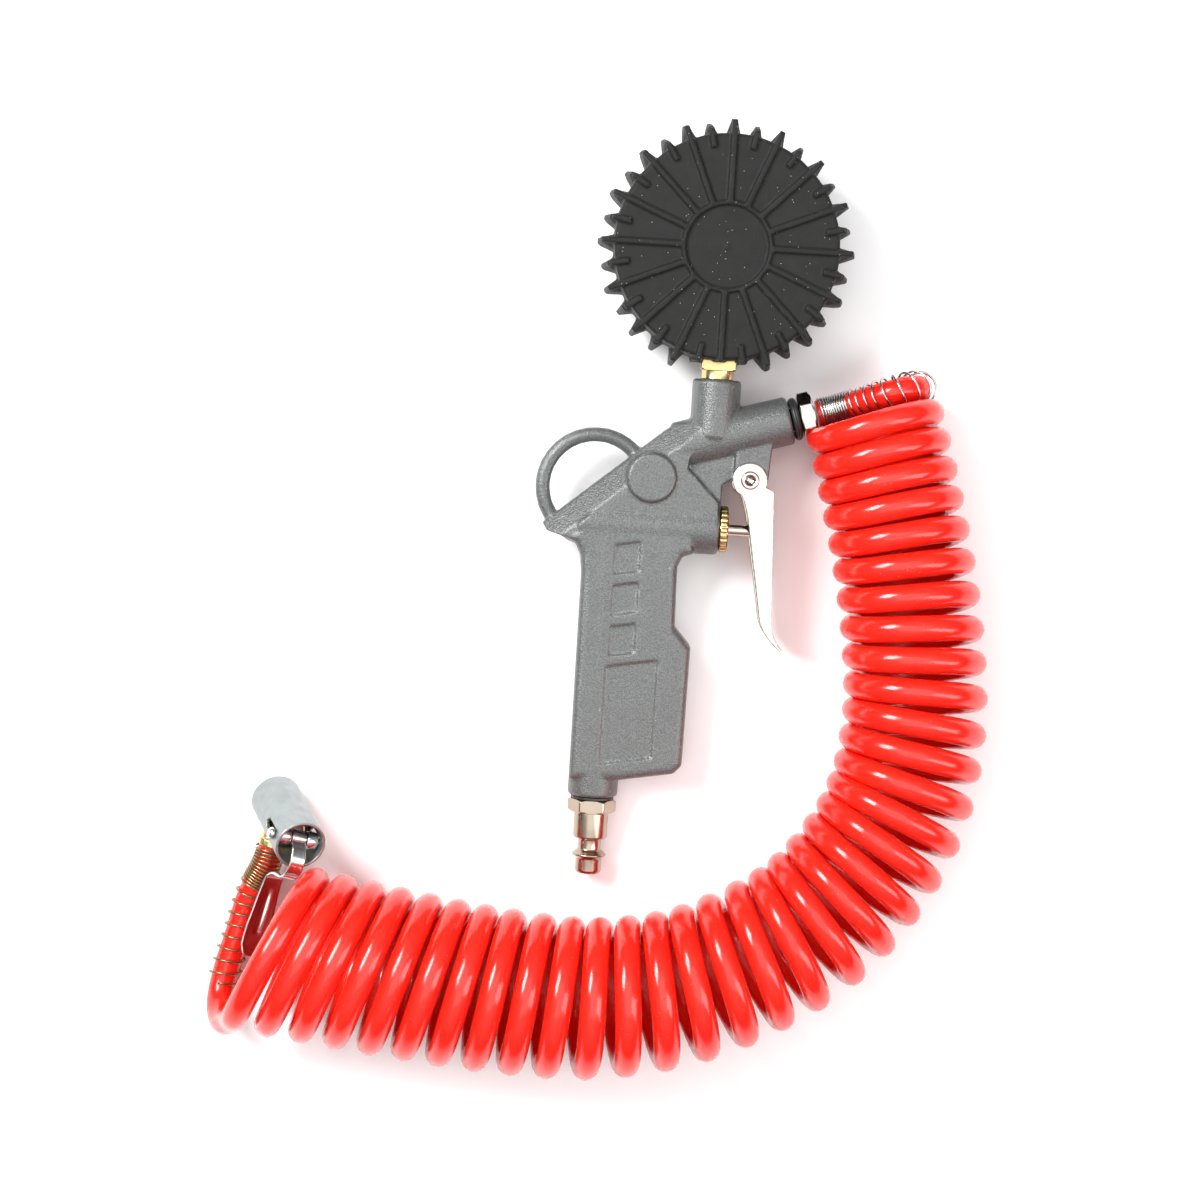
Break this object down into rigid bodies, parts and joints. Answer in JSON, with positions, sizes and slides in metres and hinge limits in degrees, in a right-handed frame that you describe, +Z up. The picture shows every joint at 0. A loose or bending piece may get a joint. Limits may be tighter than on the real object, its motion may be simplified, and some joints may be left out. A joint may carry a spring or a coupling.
{
  "type": "tyre inflator pistol",
  "caption": "Air-line tyre inflator pistol with a rubber-booted pressure gauge, a squeeze lever, a quick-connect inlet nipple and a spiral hose ending in a clip-on tyre chuck.",
  "frame": {"origin": "bottom centre of the pistol with its gauge, leaving out the hose and chuck, on the bench the inflator lies on", "axes": "+Y from the inlet nipple to the gauge, +X from the grip to the lever, +Z up from the bench, through the pistol's side"},
  "size_m": [0.2787, 0.3495, 0.0635],
  "materials": {
    "cast_paint": "silver-grey sand-textured paint over a die casting",
    "nickel": "polished nickel plate",
    "zinc": "bright zinc plate over steel",
    "brass": "turned brass",
    "spring_steel": "bright drawn spring wire",
    "brassed_steel": "spring wire with a yellowish zinc plate",
    "boot_rubber": "matt moulded rubber with a little dust",
    "seal_rubber": "smooth black rubber",
    "dial_enamel": "white printed dial, satin",
    "pointer_red": "red painted sheet, satin",
    "lens": "clear polished acrylic",
    "hose_red": "glossy red polyurethane, slightly translucent"
  },
  "bodies": {
    "pistol": {"gun_body": "cast_paint", "valve_plug": "brass", "valve_spring": "spring_steel", "lever_pin": "nickel", "lever_pin_clip": "spring_steel", "inlet_seal_washer": "seal_rubber", "inlet_nipple": "nickel", "gauge_boot": "boot_rubber", "gauge_case": "zinc", "gauge_stem": "brass", "bourdon_tube": "brass", "gauge_movement": "brass", "gauge_dial": "dial_enamel", "dial_ring": "dial_enamel", "gauge_lens": "lens", "hose_o_ring": "seal_rubber", "hose_fitting": "nickel", "chuck_body": "zinc", "chuck_core": "brass", "chuck_pin": "zinc", "chuck_spring": "spring_steel", "chuck_seal": "seal_rubber", "chuck_depressor": "brass", "hose_lead_gun": "hose_red", "hose_coil": "hose_red", "hose_lead_chuck": "hose_red", "guard_spring_gun": "spring_steel", "guard_spring_chuck": "brassed_steel"},
    "lever": {"lever": "nickel"},
    "valve": {"valve_stem": "nickel", "valve_spool": "brass", "valve_seal": "seal_rubber"},
    "pointer": {"gauge_pointer": "pointer_red"},
    "chuck_lever": {"chuck_lever": "zinc"}
  },
  "joints": [
    {"name": "lever_hinge", "type": "hinge", "parent": "pistol", "child": "lever", "pos_m": [0.02265, 0.00959, 0.01786], "axis": [0, 0.0732, -0.9973], "range_deg": [0, 10.9], "stiffness_Nm_per_rad": 0.6, "springref_deg": -20.05},
    {"name": "valve_slide", "type": "slide", "parent": "pistol", "child": "valve", "axis": [-1, 0, 0], "range_m": [0, 0.0036], "deforming": ["valve_spring"]},
    {"name": "pointer_hinge", "type": "hinge", "parent": "pistol", "child": "pointer", "pos_m": [0.00875, 0.09329, 0.00997], "axis": [0, -0.0732, 0.9973], "range_deg": [0, 270], "stiffness_Nm_per_rad": 0.0002, "springref_deg": -5.73},
    {"name": "chuck_lever_hinge", "type": "hinge", "parent": "pistol", "child": "chuck_lever", "pos_m": [-0.13267, -0.12968, 0.03144], "axis": [0.8564, -0.1768, -0.4851], "range_deg": [0, 9], "stiffness_Nm_per_rad": 0.5, "springref_deg": -11.46}
  ],
  "couplings": [
    {"joint": "valve_slide", "follows": "lever_hinge", "m_per_rad": 0.0187}
  ]
}
